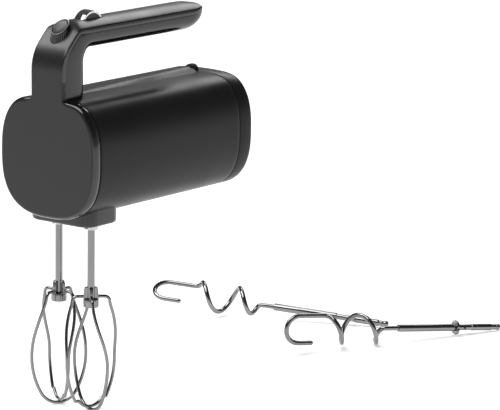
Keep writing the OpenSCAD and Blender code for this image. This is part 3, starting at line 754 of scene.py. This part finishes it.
def make_disc(name, low, high, radius, teeth, mats, node, slot):
    """A half disc with a hub, from x = low to high, with teeth or a plain rim."""
    stations = [(low, 0.9, 0.0), (low, 0.35, 0.3), (low + 0.35, 0.0, 1.0), (high - 0.35, 0.0, 1.0),
                (high, 0.35, 0.3), (high, 1.6, 0.0)]
    rings = []
    for x, inset, depth in stations:
        points = []
        for k in range(WHEEL_STEPS + 1):
            a = WHEEL_START + math.pi * k / WHEEL_STEPS
            groove = GROOVE * depth * (0.5 + 0.5 * math.cos(teeth * 2 * a)) if teeth else 0
            points.append((radius - inset - groove, a))
        for k in range(1, HUB_STEPS):
            points.append((WHEEL_HUB_R - 0.3 * (inset > 0), WHEEL_START + math.pi + math.pi * k / HUB_STEPS))
        rings.append([row(x, WHEEL_Y + r * math.cos(a), WHEEL_Z + r * math.sin(a)) for r, a in points])
    verts, faces = loft(rings)
    marks = [0] * (len(faces) - 2) + [len(mats) - 1] * 2
    piece(name, verts, faces, "speed_dial", slot, mats, [node], marks=marks, angle=28)


def make_wheel():
    """Knurled rim and its bright ring, each a half disc with a hub, as in the CAD."""
    make_disc("wheel_skin", wheel_low.x, wheel_high.x, WHEEL_R, WHEEL_TEETH, [KNURL], "speed_wheel",
              "knurled_grey")
    make_disc("trim_skin", trim_low.x, trim_high.x, WHEEL_R - TRIM_IN, 0, [TRIM, KNURL], "speed_wheel_trim",
              "bright_trim")


# ---------------------------------------------------------------- beaters
def arc(cx, cz, r, start, stop, count):
    angles = [start + (stop - start) * i / count for i in range(count + 1)]
    return [(cx + r * math.cos(a), cz + r * math.sin(a)) for a in angles]


def half_loop(lift):
    """One arm of a wire loop as (radius, depth below the arms), down to the lowest point."""
    wide = CAGE_H * 0.57
    low_r = 17.0
    rise_r = ((wide - 5) ** 2 + (CAGE_R - 14.9) ** 2) / (2 * (CAGE_R - 14.9))
    rise_a = math.asin((wide - 5) / rise_r)
    drop = CAGE_H - low_r - wide
    side_r = (CAGE_R ** 2 + drop ** 2 - low_r ** 2) / (2 * (CAGE_R - low_r))
    side_a = math.atan2(drop, side_r - CAGE_R)
    points = [(4.6, 0.0), (7.0, 0.0), (9.4, 0.0)]
    points += arc(10.6, 4.5, 4.5, math.radians(-80), -rise_a, 9)
    points += arc(CAGE_R - rise_r, wide, rise_r, -rise_a * 0.97, 0, 22)
    points += arc(CAGE_R - side_r, wide, side_r, side_a * 0.08, side_a, 12)
    points += arc(0, CAGE_H - low_r, low_r - lift, side_a + (math.pi / 2 - side_a) / 9, math.pi / 2, 9)
    return points, wide


def loop_points(azimuth, hand, lift, mid, arm_z):
    """A whole wire loop, twisted about the shaft as it goes down."""
    half, wide = half_loop(lift)
    path = []
    for sign, points in ((1, half), (-1, half[-2::-1])):
        for r, depth in points:
            a = azimuth - hand * CAGE_TWIST * smooth(depth / wide)
            path.append(mid + Vector((sign * r * math.cos(a), sign * r * math.sin(a), arm_z - depth)) * MM)
    return path


def beater_fin(centre, base, angle):
    """One of the four fins that stand on the hub."""
    along = Vector((math.cos(angle), math.sin(angle), 0))
    across = Vector((-math.sin(angle), math.cos(angle), 0))
    profile = [(2.0, 6.8), (6.1, 6.8), (6.1, 8.2), (5.6, 14.6), (5.2, 15.8), (4.3, 16.4), (2.0, 16.4)]
    rings = []
    for offset, less in ((-1.4, 0.3), (-1.1, 0.0), (1.1, 0.0), (1.4, 0.3)):
        ring = []
        for r, h in profile:
            up = Vector((0, 0, base + h - less * (h > 16)))
            ring.append(centre + (along * max(r - less, 1.5) + across * offset + up) * MM)
        rings.append(ring)
    return loft(rings)


def make_beater(side, name):
    low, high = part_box("beater_shaft_" + name)
    mid = (low + high) / 2
    centre = Vector((mid.x, mid.y, 0))
    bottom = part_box("beater_cage_" + name)[0].z / MM
    arm_z = bottom + WIRE_R + CAGE_H
    first = 0.0 if side < 0 else math.radians(45)
    body = name + "_beater"
    cage = merge(*[sweep(loop_points(first + turn, -side, lift, centre, arm_z), WIRE_R * MM, False)
                   for turn, lift in ((math.pi / 2, 0), (0.0, 2 * WIRE_R))])
    piece("cage_" + name, *cage, body, "polished_steel", [STEEL], ["beater_cage_" + name])
    base = low.z / MM
    top = high.z / MM
    profile = [(SHAFT_R, base + 6.9), (SHAFT_R, top - 9), (2.5, top - 8.4), (2.5, top - 7.8),
               (SHAFT_R, top - 7.2), (SHAFT_R, top - 1.4), (2.4, top - 0.6)]
    shaft = lathe(profile, centre, (0, 0, 1), 48)
    profile = [(5.4, base), (6.0, base + 0.2), (HUB_R, base + 0.8), (HUB_R, base + 6.2), (6.05, base + 6.8),
               (5.5, base + 7.1), (SHAFT_R, base + 7.3)]
    hub = lathe(profile, centre, (0, 0, 1), 64)
    fins = [beater_fin(centre, base, k * math.pi / 2 + first) for k in range(4)]
    pin = sweep([centre + Vector((0, y, base + PIN_UP)) * MM for y in (-4.6, 0, 4.6)], PIN_R * MM)
    piece("shaft_" + name, *merge(shaft, hub, *fins, pin), body, "polished_steel", [STEEL],
          ["beater_shaft_" + name])


# ---------------------------------------------------------------- dough hooks
def hook_points(start):
    """The wire from its crook through the spiral to the shank, along X; start turns it, in degrees."""
    start = math.radians(start)
    c, s = math.cos(start), math.sin(start)

    def crook(u, offset):
        return Vector((u, -offset * c, offset * s))
    path = [crook(u, -HOOK_R) for u in (25, 21, 17)]
    path += [crook(HOOK_R * (1 - math.sin(a)), HOOK_R * math.cos(a)) for a in np.linspace(math.pi, 0, 22)]
    path += [crook(u, HOOK_R) for u in (16, 22, 28, 33)]
    for u in np.arange(TURN_START, TURN_END + TURN_FADE + 0.1, 0.8):
        a = start - (u - TURN_START) * 2 * math.pi / TURN_PITCH
        r = HOOK_R * (1 - smooth((u - TURN_END) / TURN_FADE))
        path.append(Vector((u, -r * math.cos(a), r * math.sin(a))))
    path.append(Vector((SHANK_START + 9, 0, 0)))
    inner = [(path[i - 1] + path[i] * 2 + path[i + 1]) / 4 for i in range(1, len(path) - 1)]
    return [path[0], *inner, path[-1]]


def notched(a, _):
    """Share of the flange's radius at an angle, with four notches."""
    return 1 - 0.16 * max(0.0, math.cos(4 * (a - math.radians(45)))) ** 6


def make_hook(name, start, flanged, place):
    body = name + "_dough_hook"
    wire = [place @ (p * MM) for p in hook_points(start)]
    piece("hook_coil_" + name, *sweep(wire, (HOOK_WIRE - WIRE_CLEAR) * MM), body, "polished_steel",
          [HOOK_STEEL], ["hook_wire_" + name])
    origin = place @ Vector((0, 0, 0))
    axis = (place.to_3x3() @ Vector((1, 0, 0))).normalized()
    profile = [(2.3, SHANK_START), (3.0, SHANK_START + 0.3), (3.3, SHANK_START + 1), (3.3, FLANGE_AT - 0.3),
               (3.1, FLANGE_AT), (2.6, FLANGE_AT + 0.1), (2.6, JOURNAL - 0.5), (3.0, JOURNAL),
               (3.0, HOOK_L - 10), (2.6, HOOK_L - 9.4), (2.4, HOOK_L - 8.4), (2.4, HOOK_L - 7.6),
               (2.6, HOOK_L - 6.6)]
    for a in range(-40, 81, 20):
        a = math.radians(a)
        profile.append((2.9 * math.cos(a), HOOK_L - 3 + 2.9 * math.sin(a)))
    parts = [lathe(profile, origin, axis, 40)]
    corners = [(-5, 0.4), (-4.6, 0), (4.6, 0), (5, 0.4), (5, 6.6), (4.6, 7), (-4.6, 7), (-5, 6.6)]
    parts.append(loft([[place @ (Vector((LUG_AT + u, y, z)) * MM) for y, u in corners] for z in (-1.1, 1.1)]))
    if flanged:
        profile = [(3.0, 0), (5.9, 0), (6.4, 0.35), (6.4, 2.05), (5.9, 2.4), (3.0, 2.4)]
        profile = [(r, FLANGE_AT + h) for r, h in profile]
        parts.append(lathe(profile, origin, axis, 96, notched))
    piece("hook_shaft_" + name, *merge(*parts), body, "polished_steel", [HOOK_STEEL], ["hook_shank_" + name])


def hook_matrix(x, y, direction):
    """Lays a hook on the table: its crook's end at (x, y), its shank pointing at an angle, in degrees."""
    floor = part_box("beater_cage_right")[0].z
    height = floor + (HOOK_R + HOOK_WIRE + HOOK_REST * math.sin(HOOK_TILT)) * MM
    move = Matrix.Translation(Vector((x * MM, (y + FRONT_Y) * MM, height)))
    return move @ Matrix.Rotation(math.radians(direction), 4, "Z") @ Matrix.Rotation(HOOK_TILT, 4, "Y")


# ---------------------------------------------------------------- stage, light and camera
def make_stage():
    mat, nodes, links, shader = new_material("studio_floor")
    shader.inputs["Base Color"].default_value = (0.92, 0.92, 0.92, 1)
    shader.inputs["Roughness"].default_value = 0.9
    shader.inputs["Specular IOR Level"].default_value = 0.1
    grain = add_noise(nodes, links, 3, 2)
    tone = add_mix(nodes, links, grain.outputs["Fac"], (0.91, 0.91, 0.91), (0.93, 0.93, 0.93))
    links.new(tone, shader.inputs["Base Color"])
    shader.inputs["Emission Color"].default_value = (1, 1, 1, 1)
    shader.inputs["Emission Strength"].default_value = 0.42
    floor_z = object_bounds()[0][2] - 0.0002
    mesh = bpy.data.meshes.new("floor")
    made = bmesh.new()
    bmesh.ops.create_grid(made, x_segments=2, y_segments=2, size=9)
    made.to_mesh(mesh)
    made.free()
    mesh.materials.append(mat)
    floor = bpy.data.objects.new("floor", mesh)
    floor.location = (0, 0, floor_z)
    bpy.context.scene.collection.objects.link(floor)


def add_light(name, place, target, size, size_y, power):
    lamp = bpy.data.lights.new(name, "AREA")
    lamp.shape = "RECTANGLE"
    lamp.size = size
    lamp.size_y = size_y
    lamp.energy = power
    obj = bpy.data.objects.new(name, lamp)
    obj.location = place
    obj.rotation_euler = (Vector(target) - Vector(place)).to_track_quat("-Z", "Y").to_euler()
    bpy.context.scene.collection.objects.link(obj)


def light_studio():
    world = bpy.data.worlds.new("studio")
    bpy.context.scene.world = world
    world.use_nodes = True
    nodes, links = world.node_tree.nodes, world.node_tree.links
    coords = nodes.new("ShaderNodeTexCoord")
    split = nodes.new("ShaderNodeSeparateXYZ")
    links.new(coords.outputs["Generated"], split.inputs["Vector"])
    ramp = nodes.new("ShaderNodeValToRGB")
    links.new(split.outputs["Z"], ramp.inputs["Fac"])
    stops = ramp.color_ramp.elements
    stops[0].position = 0.0
    stops[0].color = (0.42, 0.42, 0.42, 1)
    stops[1].position = 0.8
    stops[1].color = (0.04, 0.04, 0.04, 1)
    stops.new(0.25).color = (0.10, 0.10, 0.10, 1)
    links.new(ramp.outputs["Color"], nodes["Background"].inputs["Color"])
    nodes["Background"].inputs["Strength"].default_value = 1.0
    middle = row(0, 100, 0)
    sun = bpy.data.lights.new("sky_panel", "SUN")
    sun.energy = 2.4
    sun.angle = math.radians(50)
    lamp = bpy.data.objects.new("sky_panel", sun)
    lamp.rotation_euler = (math.radians(25), math.radians(-12), 0)
    bpy.context.scene.collection.objects.link(lamp)
    add_light("rear_softbox", middle + Vector((-0.45, 1.15, 0.95)), middle, 0.9, 0.5, 7)
    add_light("left_softbox", middle + Vector((-1.0, -0.3, 1.15)), middle, 0.6, 0.5, 6)
    bpy.context.scene.view_settings.view_transform = "Standard"


def set_camera():
    """A long lens at the front right, a little above; the front plate sits left of the middle."""
    level = math.cos(VIEW_EL)
    back = Vector((math.sin(VIEW_AZ) * level, -math.cos(VIEW_AZ) * level, math.sin(VIEW_EL)))
    right = Vector((math.cos(VIEW_AZ), math.sin(VIEW_AZ), 0))
    up = back.cross(right)
    data = bpy.data.cameras.new("camera")
    data.sensor_width = 36
    data.lens = LENS
    data.clip_end = 50
    camera = bpy.data.objects.new("camera", data)
    camera.location = row(0, 0, 0) + back * VIEW_D
    look = (-back + right * math.tan(AIM_RIGHT) - up * math.tan(AIM_DOWN)).normalized()
    turn = look.to_track_quat("-Z", "Y").to_matrix().to_4x4() @ Matrix.Rotation(VIEW_ROLL, 4, "Z")
    camera.rotation_euler = turn.to_euler()
    bpy.context.scene.collection.objects.link(camera)
    bpy.context.scene.camera = camera


set_camera()
finish_inner_nodes()
make_gasket()
make_bevel_ring()
make_sleeve()
make_rear_cap()
make_chin()
make_front_plate()
make_strap()
make_core()
make_spine()
make_gland()
make_button()
make_wheel()
make_beater(-1, "left")
make_beater(1, "right")
make_hook("rear", 155, False, hook_matrix(*REAR_HOOK))
make_hook("front", 90, True, hook_matrix(*FRONT_HOOK))
make_stage()
light_studio()
